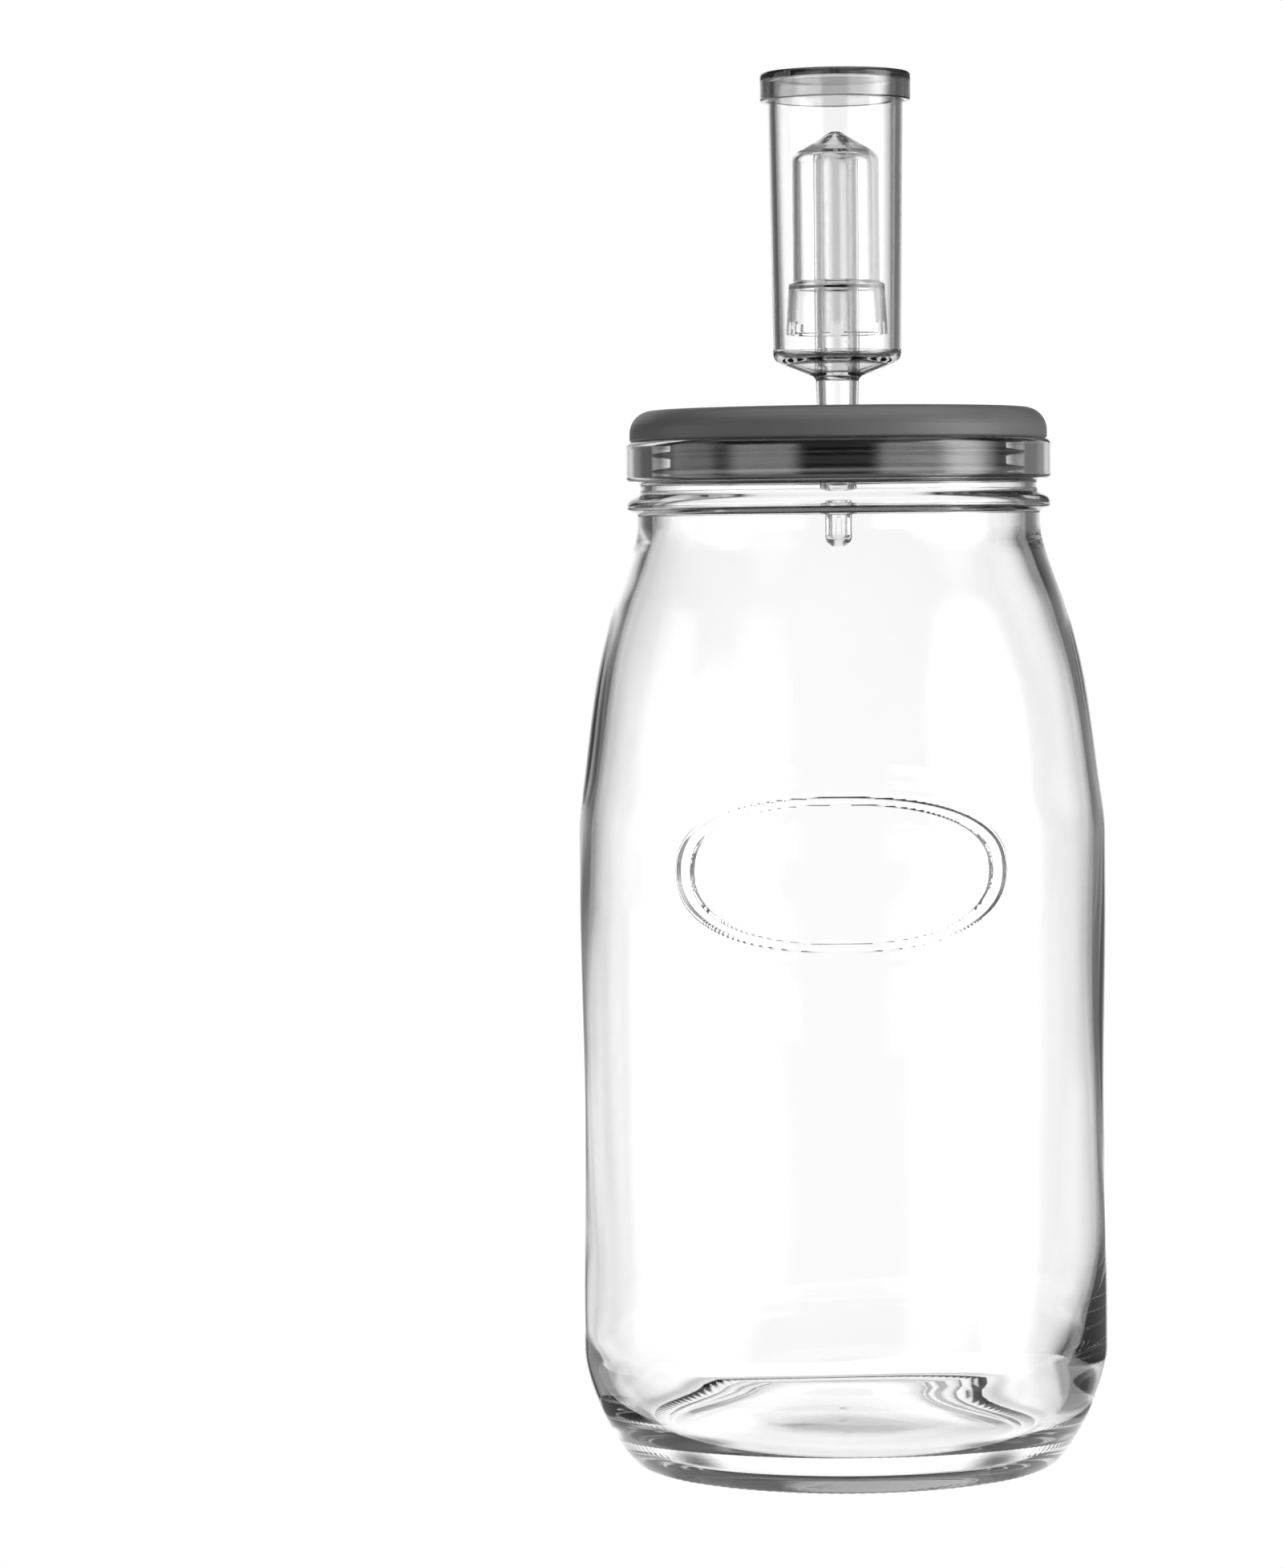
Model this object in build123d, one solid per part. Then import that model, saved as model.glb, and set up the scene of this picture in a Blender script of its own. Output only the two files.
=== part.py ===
from build123d import *
from math import acos, pi, sin, tan
import os

# Fermentation jar of about three litres, with a push-in lid and a three-piece airlock.
# Millimetres, +Z up. The origin is the centre of the foot ring, where the jar stands.
# Every piece is turned about the Z axis, so its outline is drawn in the XZ plane as radius and height.

# Roundings of corners are cut into this many short facets
rounding_facets = 5

# Jar: radii
band_radius = 69.6  # contact band under the shoulder, the widest part
lower_band_step = 0.2  # the band above the heel stands in by this much
waist_depth = 0.8  # hollow of the side between the two bands
heel_width = 14.4  # from the foot ring out to the lower band
foot_width = 5.0  # flat ring that the jar stands on
neck_radius = 53.2
ring_proud = 2.6  # lower neck ring, over the neck
ring_rise = 0.5  # from the ring's lower edge to its face
ring_face = 3.0  # flat of the ring between its two slopes
groove_depth = 0.8  # groove between the ring and the finish, inside the neck radius
finish_radius = 56.0  # upper bead, whose top is the rim

# Jar: heights, from the foot up
heel_height = 31.0
lower_band_height = 12.0
waist_height = 108.0
upper_band_height = 15.0
shoulder_height = 81.0
neck_height = 4.0
ring_height = 5.1
groove_height = 3.2
finish_height = 10.6

# Jar: glass thickness and roundings
jar_wall = 2.0
neck_wall = 4.0
shoulder_thickening = 2.0  # the inside of the shoulder ends this much lower than the outside
push_up = 4.0  # hollow under the base
base_thickness = 7.0  # at the centre
floor_crown = 4.5  # rise of the inside floor towards its centre
floor_radius = 45.5
crown_flat_radius = 14.0  # level middle of the floor and of the hollow under it
inside_heel_height = 30.0
rim_outer_bevel = 1.0
rim_mouth_bevel = 1.2
finish_lower_bevel = 0.6

# Heel: lengths of the curve's two handles, as shares of the heel's width and height
heel_foot_share = 0.18
heel_side_share = 0.41
inside_heel_foot_share = 0.5
inside_heel_side_share = 0.55
inside_heel_facets = 6

# Shoulder: inward travel and climb of chosen points, as shares of the whole shoulder
shoulder_shares = ((0.0, 0.0), (0.11, 0.2), (0.32, 0.51), (0.58, 0.727), (0.92, 0.935), (1.0, 1.0))

# Lid
lid_radius = 54.9
lid_height = 8.2  # above the rim
lid_edge_rounding = 6.0
lid_lower_bevel = 0.5
plug_depth = 9.5  # below the rim
plug_clearance = 0.2  # between a sealing rib and the glass
plug_wall = 1.9
rib_proud = 4.8  # sealing rib over the plug
rib_height = 2.0
rib_face = 0.7  # flat along a rib's edge
rib_depths = (3.6, 7.8)  # middle of each rib, below the rim
lid_plate = 6.4  # thickness over the hollow underside
recess_bevel = 1.2
boss_radius = 10.5
boss_length = 9.6  # below the plate's underside
lid_small_bevel = 0.6

# Airlock: stem, from the lid up and down
stem_show = 7.6  # from the lid's top to the collar under the chamber
stem_length = 35.2  # from the collar down to the step of the tip
stem_top_radius = 5.65
stem_end_radius = 4.6
stem_wall = 1.5
stem_clearance = 0.1  # around the stem in the lid's bore
tip_length = 8.0
tip_radius = 3.55
tip_wall = 1.25
tip_rounding = 3.0
tip_floor = 2.2
slot_width = 1.4
slot_height = 4.0
slot_rise = 3.0  # from the tip's end to the slots

# Airlock: chamber and standpipe
collar_radius = 6.3
collar_height = 1.0
underside_rise = 3.8  # from the collar out to the chamber's corner
chamber_radius = 16.9  # at the bottom
chamber_rim_radius = 17.9
chamber_height = 73.9  # from its bottom corner to the rim
chamber_wall = 1.9
chamber_rounding = 3.4
chamber_inside_bevel = 1.2
floor_thickness = 1.9
pipe_radius = 5.95
pipe_bore = 4.0
pipe_height = 57.6  # above the middle of the chamber's floor
chamber_edge_bevel = 0.5

# Bubbler, the inverted cup over the standpipe
bubbler_wall = 1.3
bubbler_rise = 4.5  # peak above the standpipe's top
bubbler_depth = 48.6  # skirt's lower edge below the standpipe's top
crown_radius = 1.2  # small flat at the peak
crown_drop = 5.9  # from the peak to the corner over the body
body_radius = 11.45
skirt_height = 13.2
skirt_top_radius = 12.6
skirt_radius = 13.4  # at the lower edge
step_height = 0.7
bubbler_rounding = 3.0
bubbler_inside_bevel = 1.2
rest_rib_count = 4
rest_rib_width = 1.2
rest_rib_inner = 3.2
rest_rib_outer = 8.5
notch_count = 6
notch_width = 3.4
notch_height = 3.2

# Airlock cap
cap_clearance = 0.15  # around the chamber's rim
cap_wall = 1.75
cap_overlap = 5.7  # how far the cap's skirt reaches below the chamber's rim
cap_plate = 1.8
cap_top_bevel = 0.7
cap_small_bevel = 0.3
vent_count = 4
vent_radius = 0.7
vent_circle_radius = 8.5

# Cutters run past the faces that they cut by this much
overrun = 1.0

# Jar: levels and radii that follow
lower_band_radius = band_radius - lower_band_step
waist_radius = band_radius - waist_depth
foot_radius = lower_band_radius - heel_width
bore_radius = neck_radius - neck_wall
lower_band_top = heel_height + lower_band_height
upper_band_bottom = lower_band_top + waist_height
shoulder_bottom = upper_band_bottom + upper_band_height
neck_bottom = shoulder_bottom + shoulder_height
ring_bottom = neck_bottom + neck_height
ring_top = ring_bottom + ring_height
finish_bottom = ring_top + groove_height
rim_level = finish_bottom + finish_height
floor_centre = push_up + base_thickness
floor_edge = floor_centre - floor_crown

# Lid: levels and radii that follow
lid_top = rim_level + lid_height
plug_bottom = rim_level - plug_depth
rib_radius = bore_radius - plug_clearance
plug_radius = rib_radius - rib_proud
recess_top = lid_top - lid_plate
boss_bottom = recess_top - boss_length

# Airlock: levels that follow
collar_bottom = lid_top + stem_show
stem_end = collar_bottom - stem_length
tip_end = stem_end - tip_length
collar_top = collar_bottom + collar_height
chamber_bottom = collar_top + underside_rise
chamber_rim = chamber_bottom + chamber_height
pipe_foot = collar_top + floor_thickness
pipe_top = pipe_foot + pipe_height


def turned(*edges):
    """A solid turned about the Z axis from a closed chain of edges."""
    chain = Curve() + list(edges)
    return revolve(make_face(Plane.XZ * chain), axis=Axis.Z)


def corner(radius, height, rounding=0, bevel=0):
    """One corner of a turned outline, sharp unless it is rounded or bevelled."""
    return Vector(radius, height), rounding, bevel


def bevel_ends(before, point, after, bevel):
    """The two ends of a bevel across a corner, each at the bevel's distance from it."""
    return [point + (neighbour - point).normalized() * bevel for neighbour in (before, after)]


def rounding_points(before, point, after, radius):
    """Points along the arc that rounds a corner, from one of its sides to the other."""
    sides = [(neighbour - point).normalized() for neighbour in (before, after)]
    half_angle = acos(sides[0].dot(sides[1])) / 2
    centre = point + (sides[0] + sides[1]).normalized() * (radius / sin(half_angle))
    start, end = [point + side * (radius / tan(half_angle)) - centre for side in sides]
    turn = pi - 2 * half_angle
    shares = [step / rounding_facets for step in range(rounding_facets + 1)]
    return [
        centre + (start * sin(turn * (1 - share)) + end * sin(turn * share)) * (1 / sin(turn)) for share in shares
    ]


def turned_corners(*corners):
    """A turned solid whose outline joins the corners with straight lines."""
    points = []
    for index, (point, rounding, bevel) in enumerate(corners):
        before = corners[index - 1][0]
        after = corners[(index + 1) % len(corners)][0]
        if rounding:
            points += rounding_points(before, point, after, rounding)
        elif bevel:
            points += bevel_ends(before, point, after, bevel)
        else:
            points.append(point)
    return turned(Polyline(*points, close=True))


def shoulder_curve(lower_radius, upper_radius, height):
    """The shoulder's S-curve, upright at both ends."""
    inward = lower_radius - upper_radius
    points = [
        (lower_radius - inward * inward_share, shoulder_bottom + height * climb_share)
        for inward_share, climb_share in shoulder_shares
    ]
    return Spline(*points, tangents=((0, 1), (0, 1)))


def heel_curve(inner_radius, outer_radius, bottom, top, foot_share, side_share):
    """The heel's curve from a level foot to an upright side."""
    width = outer_radius - inner_radius
    height = top - bottom
    return Bezier(
        (inner_radius, bottom),
        (inner_radius + width * foot_share, bottom),
        (outer_radius, top - height * side_share),
        (outer_radius, top),
    )


def stem_radius_at(level):
    """Outer radius of the tapered stem at a height."""
    climbed = (level - stem_end) / stem_length
    return stem_end_radius + (stem_top_radius - stem_end_radius) * climbed


def make_jar():
    """One blown piece of glass: pushed-up base, contact bands, shoulder, neck ring and finish."""
    inner_radius = waist_radius - jar_wall
    outside = [
        Polyline((0, push_up), (crown_flat_radius, push_up), (foot_radius - foot_width, 0), (foot_radius, 0)),
        heel_curve(foot_radius, lower_band_radius, 0, heel_height, heel_foot_share, heel_side_share),
        Line((lower_band_radius, heel_height), (lower_band_radius, lower_band_top)),
        ThreePointArc(
            (lower_band_radius, lower_band_top),
            (waist_radius, (lower_band_top + upper_band_bottom) / 2),
            (band_radius, upper_band_bottom),
        ),
        Line((band_radius, upper_band_bottom), (band_radius, shoulder_bottom)),
        shoulder_curve(band_radius, neck_radius, shoulder_height),
    ]
    groove_radius = neck_radius - groove_depth
    ring_radius = neck_radius + ring_proud
    ring_face_bottom = ring_bottom + ring_rise
    bore_bottom = neck_bottom - shoulder_thickening
    finish = Polyline(
        (neck_radius, neck_bottom),
        (neck_radius, ring_bottom),
        (ring_radius, ring_face_bottom),
        (ring_radius, ring_face_bottom + ring_face),
        (groove_radius, ring_top),
        (groove_radius, finish_bottom),
        (finish_radius - finish_lower_bevel, finish_bottom),
        (finish_radius, finish_bottom + finish_lower_bevel),
        (finish_radius, rim_level - rim_outer_bevel),
        (finish_radius - rim_outer_bevel, rim_level),
        (bore_radius + rim_mouth_bevel, rim_level),
        (bore_radius, rim_level - rim_mouth_bevel),
        (bore_radius, bore_bottom),
    )
    inside_heel = heel_curve(
        floor_radius,
        inner_radius,
        floor_edge,
        floor_edge + inside_heel_height,
        inside_heel_foot_share,
        inside_heel_side_share,
    )
    inside_heel_points = [inside_heel @ (1 - step / inside_heel_facets) for step in range(inside_heel_facets + 1)]
    inside = [
        shoulder_curve(inner_radius, bore_radius, bore_bottom - shoulder_bottom),
        Polyline(
            (inner_radius, shoulder_bottom),
            *inside_heel_points,
            (crown_flat_radius, floor_centre),
            (0, floor_centre),
            (0, push_up),
        ),
    ]
    return turned(*outside, finish, *inside)


def make_lid():
    """A soft lid: a rounded cap on the rim, a ribbed plug in the neck and a bored boss under it."""
    ribs = []
    for depth in rib_depths:
        middle = rim_level - depth
        ribs += [
            corner(plug_radius, middle + rib_height / 2),
            corner(rib_radius, middle + rib_face / 2),
            corner(rib_radius, middle - rib_face / 2),
            corner(plug_radius, middle - rib_height / 2),
        ]
    return turned_corners(
        corner(stem_radius_at(lid_top) + stem_clearance, lid_top),
        corner(lid_radius, lid_top, rounding=lid_edge_rounding),
        corner(lid_radius, rim_level, bevel=lid_lower_bevel),
        corner(plug_radius, rim_level),
        *ribs,
        corner(plug_radius, plug_bottom, bevel=lid_small_bevel),
        corner(plug_radius - plug_wall, plug_bottom, bevel=lid_small_bevel),
        corner(plug_radius - plug_wall, recess_top, bevel=recess_bevel),
        corner(boss_radius, recess_top, bevel=recess_bevel),
        corner(boss_radius, boss_bottom, bevel=lid_small_bevel),
        corner(stem_radius_at(boss_bottom) + stem_clearance, boss_bottom),
    )


def make_airlock_body():
    """Water chamber, standpipe, tapered stem and slotted tip, in one moulding."""
    chamber_inner = chamber_radius - chamber_wall
    rim_inner = chamber_rim_radius - chamber_wall
    stem_bore = stem_end_radius - stem_wall
    tip_bore = tip_radius - tip_wall
    body = turned_corners(
        corner(0, tip_end),
        corner(tip_radius, tip_end, rounding=tip_rounding),
        corner(tip_radius, stem_end),
        corner(stem_end_radius, stem_end),
        corner(stem_top_radius, collar_bottom),
        corner(collar_radius, collar_top),
        corner(chamber_radius, chamber_bottom, rounding=chamber_rounding),
        corner(chamber_rim_radius, chamber_rim, bevel=chamber_edge_bevel),
        corner(rim_inner, chamber_rim, bevel=chamber_edge_bevel),
        corner(chamber_inner, chamber_bottom + floor_thickness, bevel=chamber_inside_bevel),
        corner(pipe_radius, pipe_foot),
        corner(pipe_radius, pipe_top),
        corner(pipe_bore, pipe_top),
        corner(pipe_bore, collar_bottom),
        corner(stem_bore, stem_end),
        corner(tip_bore, stem_end),
        corner(tip_bore, tip_end + tip_floor),
        corner(0, tip_end + tip_floor),
    )
    slot = Box(2 * (tip_radius + overrun), slot_width, slot_height)
    slot_middle = tip_end + slot_rise + slot_height / 2
    for turn in (0, 90):
        body -= Pos(0, 0, slot_middle) * Rot(0, 0, turn) * slot
    return body


def make_bubbler():
    """A stepped, thin-walled cup with resting ribs in its crown and a notched skirt."""
    peak = pipe_top + bubbler_rise
    shoulder = peak - crown_drop
    edge = pipe_top - bubbler_depth
    step = edge + skirt_height
    outside = (
        corner(0, peak),
        corner(crown_radius, peak),
        corner(body_radius, shoulder, rounding=bubbler_rounding),
        corner(body_radius, step + step_height),
        corner(skirt_top_radius, step),
        corner(skirt_radius, edge),
    )
    inside = (
        corner(skirt_radius - bubbler_wall, edge),
        corner(skirt_top_radius - bubbler_wall, step - bubbler_wall),
        corner(body_radius - bubbler_wall, step - bubbler_wall + step_height),
        corner(body_radius - bubbler_wall, shoulder - step_height, bevel=bubbler_inside_bevel),
        corner(crown_radius, peak - bubbler_wall),
        corner(0, peak - bubbler_wall),
    )
    cup = turned_corners(*outside, *inside)
    filled = turned_corners(*outside, corner(0, edge))
    rib_length = rest_rib_outer - rest_rib_inner
    rib = Pos((rest_rib_outer + rest_rib_inner) / 2, 0, (pipe_top + peak) / 2) * Box(
        rib_length, rest_rib_width, bubbler_rise
    )
    for place in PolarLocations(0, rest_rib_count):
        cup += filled & (place * rib)
    notch = Pos(skirt_radius, 0, edge) * Box(2 * (skirt_radius - body_radius + overrun), notch_width, 2 * notch_height)
    for place in PolarLocations(0, notch_count, start_angle=180 / notch_count):
        cup -= place * notch
    return cup


def make_airlock_cap():
    """A shallow cap over the chamber's rim, with a ring of small vent holes."""
    inner_radius = chamber_rim_radius + cap_clearance
    outer_radius = inner_radius + cap_wall
    cap_bottom = chamber_rim - cap_overlap
    cap_top = chamber_rim + cap_plate
    cap = turned_corners(
        corner(0, chamber_rim),
        corner(inner_radius, chamber_rim),
        corner(inner_radius, cap_bottom, bevel=cap_small_bevel),
        corner(outer_radius, cap_bottom, bevel=cap_small_bevel),
        corner(outer_radius, cap_top, bevel=cap_top_bevel),
        corner(0, cap_top),
    )
    vent = Cylinder(vent_radius, cap_plate + 2 * overrun)
    for place in PolarLocations(vent_circle_radius, vent_count):
        cap -= Pos(0, 0, chamber_rim + cap_plate / 2) * place * vent
    return cap


pieces = {
    "jar": make_jar(),
    "lid": make_lid(),
    "airlock_body": make_airlock_body(),
    "bubbler": make_bubbler(),
    "airlock_cap": make_airlock_cap(),
}

os.makedirs("parts", exist_ok=True)
for name, piece in pieces.items():
    export_step(piece, f"parts/{name}.step")
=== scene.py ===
import bpy
import math
import numpy as np
from mathutils import Matrix, Vector


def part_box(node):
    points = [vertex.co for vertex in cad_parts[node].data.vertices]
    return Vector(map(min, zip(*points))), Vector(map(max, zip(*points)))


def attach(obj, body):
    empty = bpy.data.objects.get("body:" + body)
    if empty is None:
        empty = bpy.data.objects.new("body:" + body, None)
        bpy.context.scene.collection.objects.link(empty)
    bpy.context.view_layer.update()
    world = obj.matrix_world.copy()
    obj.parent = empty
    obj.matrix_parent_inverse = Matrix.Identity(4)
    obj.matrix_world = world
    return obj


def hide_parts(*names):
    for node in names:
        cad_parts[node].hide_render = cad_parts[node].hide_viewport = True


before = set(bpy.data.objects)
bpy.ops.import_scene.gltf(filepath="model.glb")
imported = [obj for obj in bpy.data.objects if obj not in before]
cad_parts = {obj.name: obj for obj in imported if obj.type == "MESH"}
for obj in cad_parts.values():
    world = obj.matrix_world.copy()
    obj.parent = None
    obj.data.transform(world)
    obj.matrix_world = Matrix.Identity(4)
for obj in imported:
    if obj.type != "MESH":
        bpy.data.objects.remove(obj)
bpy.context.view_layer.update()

# Lengths are in millimetres: levels above the jar's foot, and radii from its axis.
# They become metres where a mesh is made. Outer levels are read from the frame's own pieces.
millimetre = 0.001


def levels(node):
    """Lowest and highest level of a piece of the frame, in millimetres."""
    low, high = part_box(node)
    return low.z / millimetre, high.z / millimetre


def outer_radius(node):
    """Largest radius of a piece of the frame, in millimetres."""
    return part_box(node)[1].x / millimetre


# Outlines

arc_step = math.radians(12)
row_length = 4.0
beside_row = 0.25  # a row this close to each rounding keeps the long faces flat
shortest_line = 0.75  # shorter lines get no rows


def corner(radius, height, rounding=0.0):
    """One corner of a turned outline, with the radius of its rounding."""
    return radius, height, rounding


def curve(points):
    """Points of a smooth stretch of an outline, which need no rounding and no rows beside them."""
    return [(radius, height, None) for radius, height in points]


def bezier(start, start_handle, end_handle, end, steps):
    """Points along a cubic curve."""
    return [
        tuple(
            (1 - s) ** 3 * a + 3 * s * (1 - s) ** 2 * b + 3 * s**2 * (1 - s) * c + s**3 * d
            for a, b, c, d in zip(start, start_handle, end_handle, end)
        )
        for s in np.linspace(0.0, 1.0, steps + 1)
    ]


def climbing_curve(points, steps):
    """A smooth curve through points that climb steadily, upright at both ends."""
    radii, heights = np.array(points).T
    slopes = np.zeros(len(points))
    slopes[1:-1] = (radii[2:] - radii[:-2]) / (heights[2:] - heights[:-2])
    made = []
    for height in np.linspace(heights[0], heights[-1], steps + 1):
        i = min(int(np.searchsorted(heights, height, side="right")) - 1, len(points) - 2)
        span = heights[i + 1] - heights[i]
        s = (height - heights[i]) / span
        radius = (
            (1 + 2 * s) * (1 - s) ** 2 * radii[i]
            + s * (1 - s) ** 2 * span * slopes[i]
            + s**2 * (3 - 2 * s) * radii[i + 1]
            + s**2 * (s - 1) * span * slopes[i + 1]
        )
        made.append((radius, height))
    return made


def rounding_arc(before, point, after, radius):
    """Points along the arc that rounds a corner."""
    sides = [(neighbour - point) / np.linalg.norm(neighbour - point) for neighbour in (before, after)]
    half_angle = math.acos(float(np.clip(sides[0] @ sides[1], -1.0, 1.0))) / 2
    middle = sides[0] + sides[1]
    centre = point + middle / np.linalg.norm(middle) * radius / math.sin(half_angle)
    start, end = [point + side * radius / math.tan(half_angle) - centre for side in sides]
    turn = math.pi - 2 * half_angle
    steps = max(2, math.ceil(turn / arc_step))
    return [
        centre + (start * math.sin(turn * (1 - s)) + end * math.sin(turn * s)) / math.sin(turn)
        for s in np.linspace(0.0, 1.0, steps + 1)
    ]


def outline(corners):
    """Turns corners and curves into points, with arcs at the roundings and rows along the lines."""
    points = []
    smooth = []
    for i, (radius, height, rounding) in enumerate(corners):
        point = np.array((radius, height))
        if rounding:
            before = np.array(corners[i - 1][:2])
            after = np.array(corners[(i + 1) % len(corners)][:2])
            arc = rounding_arc(before, point, after, rounding)
        else:
            arc = [point]
        points += arc
        smooth += [rounding is None] * len(arc)
    rows = [points[0]]
    for i in range(1, len(points)):
        a, b = points[i - 1], points[i]
        length = np.linalg.norm(b - a)
        if length > shortest_line and not (smooth[i - 1] and smooth[i]):
            end_share = beside_row / length
            count = max(2, math.ceil(length / row_length))
            rows += [a + (b - a) * s for s in np.linspace(end_share, 1 - end_share, count)]
        rows.append(b)
    return np.array(rows)


def finer(rows, low, high, spacing):
    """Adds rows between two levels, wherever they lie further apart than the spacing."""
    made = [rows[0]]
    for a, b in zip(rows[:-1], rows[1:]):
        inside = low < (a[1] + b[1]) / 2 < high
        count = math.ceil(np.linalg.norm(b - a) / spacing) if inside else 1
        made += [a + (b - a) * (i + 1) / count for i in range(count)]
    return np.array(made)


# Meshes

axis_radius = 1e-6  # a row closer to the axis than this is one point on it
sharp_angle = math.radians(40)


def even_columns(count):
    """Angles of the columns of a turned mesh."""
    return np.linspace(0.0, 2 * math.pi, count, endpoint=False)


def new_object(name, data):
    """A new object in the scene, which shows a mesh, a light or a camera."""
    made = bpy.data.objects.new(name, data)
    bpy.context.scene.collection.objects.link(made)
    return made


def turned(name, rows, columns, shape=None, closed=False):
    """A turned mesh. Rows on the axis close it, and shape moves the points of each row."""
    points = []
    rings = []
    for i, (radius, height) in enumerate(rows):
        if radius < axis_radius:
            rings.append([len(points)])
            points.append((0.0, 0.0, height))
            continue
        radii = np.full(len(columns), radius)
        heights = np.full(len(columns), height)
        if shape:
            radii, heights = shape(i, radii, heights, columns)
        rings.append(range(len(points), len(points) + len(columns)))
        points += zip(radii * np.cos(columns), radii * np.sin(columns), heights)
    faces = []
    pairs = list(zip(rings[:-1], rings[1:])) + ([(rings[-1], rings[0])] if closed else [])
    for lower, upper in pairs:
        for j in range(len(columns)):
            k = (j + 1) % len(columns)
            if len(lower) == 1:
                faces.append((lower[0], upper[k], upper[j]))
            elif len(upper) == 1:
                faces.append((lower[j], lower[k], upper[0]))
            else:
                faces.append((lower[j], lower[k], upper[k], upper[j]))
    mesh = bpy.data.meshes.new(name)
    mesh.from_pydata((np.array(points) * millimetre).tolist(), [], faces)
    mesh.shade_smooth()
    return new_object(name, mesh)


def box_mesh(name, size, place, turn=0.0):
    """A plain box, used only to cut or to join."""
    mesh = bpy.data.meshes.new(name)
    x, y, z = (length / 2 for length in size)
    signs = [(a, b, c) for a in (-1, 1) for b in (-1, 1) for c in (-1, 1)]
    faces = [(0, 1, 3, 2), (4, 6, 7, 5), (0, 4, 5, 1), (2, 3, 7, 6), (0, 2, 6, 4), (1, 5, 7, 3)]
    mesh.from_pydata([(a * x, b * y, c * z) for a, b, c in signs], [], faces)
    mesh.transform(Matrix.Rotation(turn, 4, "Z") @ Matrix.Translation(place))
    mesh.transform(Matrix.Scale(millimetre, 4))
    return new_object(name, mesh)


def duplicate(piece):
    """A second object with its own copy of the mesh."""
    return new_object(piece.name, piece.data.copy())


def combine(piece, tools, operation):
    """Cuts tools from a piece, joins them to it or keeps what they share, and removes the tools."""
    for tool in tools:
        modifier = piece.modifiers.new(tool.name, "BOOLEAN")
        modifier.object = tool
        modifier.operation = operation
        modifier.solver = "EXACT"
    bpy.context.view_layer.update()
    evaluated = piece.evaluated_get(bpy.context.evaluated_depsgraph_get())
    made = bpy.data.meshes.new_from_object(evaluated)
    piece.modifiers.clear()
    piece.data = made
    for tool in tools:
        bpy.data.objects.remove(tool)


def finish_piece(piece, body, node, material, sharp=sharp_angle):
    """Gives a piece its material and its place in the frame."""
    piece.data.shade_smooth()
    piece.data.set_sharp_from_angle(angle=sharp)
    piece.data.materials.clear()
    piece.data.materials.append(material)
    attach(piece, body)
    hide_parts(node)


# Glass jar, from the foot up

rim_level = levels("jar")[1]
band_radius = outer_radius("jar")
push_up = 4.0
push_up_radius = 47.0
push_up_limits = (4.0, 46.0)  # its curve has points between these radii
foot_width = 5.0
foot_rounding = 1.4
heel_width = 14.4
heel_height = 31.0
heel_foot_share = 0.18
heel_side_share = 0.41
heel_points_left_out = 3  # at the heel's foot, which makes the foot ring slope very slightly
lower_band_step = 0.2
lower_band_height = 12.0
waist_depth = 0.8
waist_height = 108.0
upper_band_height = 15.0
shoulder_height = 81.0
shoulder_shares = (  # how far inward, and how far up
    (0.0, 0.0),
    (0.11, 0.2),
    (0.32, 0.51),
    (0.58, 0.727),
    (0.81, 0.86),
    (0.92, 0.925),
    (0.98, 0.965),
    (1.0, 1.0),
)
neck_height = 4.0
neck_radius = 53.2
ring_height = 5.1
ring_proud = 2.6
ring_rise = 1.0
ring_face = 2.3
ring_foot_rounding = 0.7
ring_lower_rounding = 0.8
ring_upper_rounding = 2.2
ring_top_rounding = 1.2
groove_height = 3.2
groove_depth = 0.8
groove_top_rounding = 0.9
finish_radius = 56.0  # the finish is the flat-sided rim over the groove
finish_rounding = 1.2
rim_rounding = 1.6

# The jar's walls and floor
neck_wall = 4.0
jar_wall = 2.0
inner_shoulder_height = 81.0
inside_heel_height = 30.0
inside_heel_foot_share = 0.5
inside_heel_side_share = 0.55
base_thickness = 7.0
floor_crown = 4.5
floor_crown_power = 1.5
floor_radius = 45.5
floor_edge_width = 3.0  # the crown's first point lies this far inside the floor's edge
floor_last_radius = 4.0  # and its last point this far from the axis

lower_band_top = heel_height + lower_band_height
upper_band_bottom = lower_band_top + waist_height
shoulder_bottom = upper_band_bottom + upper_band_height
neck_bottom = shoulder_bottom + shoulder_height
ring_bottom = neck_bottom + neck_height
ring_top = ring_bottom + ring_height
finish_bottom = ring_top + groove_height
foot_radius = band_radius - lower_band_step - heel_width
bore_radius = neck_radius - neck_wall

# Rows of the jar's mesh
push_up_rows = 14
heel_rows = 26
waist_rows = 24
shoulder_rows = 40
inner_wall_rows = 34
inside_heel_rows = 30
floor_rows = 14
bore_tolerance = 0.01
behind_panel = (120.0, 190.0)  # levels between which the inner wall keeps one row in four
behind_panel_step = 4
jar_sharp_angle = math.radians(60)

# Raised oval on the front of the jar: two plain lines on a slightly sunken panel
panel_middle = 160.0
panel_half_width = 45.0
panel_half_height = 19.5
panel_power = 2.3
panel_sink = 0.75
panel_lines = ((1.0, 1.4, 0.7), (0.9, 1.1, 0.55))  # share of the oval, width and height of each line
panel_line_top_share = 0.15  # flat part of a line, to each side, as a share of its width
panel_spread_shares = (1.05, 1.45)  # the sunken panel fades out between these shares of the oval
panel_rows_share = 1.25  # fine rows reach this far, as a share of the oval's half height
panel_front = math.radians(-90)
panel_view = math.radians(45)
panel_column = math.radians(0.3)
side_column = math.radians(0.54)
panel_row = 0.5
smallest_oval = 0.01  # these two keep the oval's middle from dividing by nought
smallest_slope = 1e-4

# Knurled foot ring
knurl_count = 130
knurl_depth = 0.1
knurl_inward = (3.2, 2.2)  # it starts and is full this far inside the foot's edge
knurl_fade = (0.5, 2.0)  # levels between which it fades out

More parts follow.
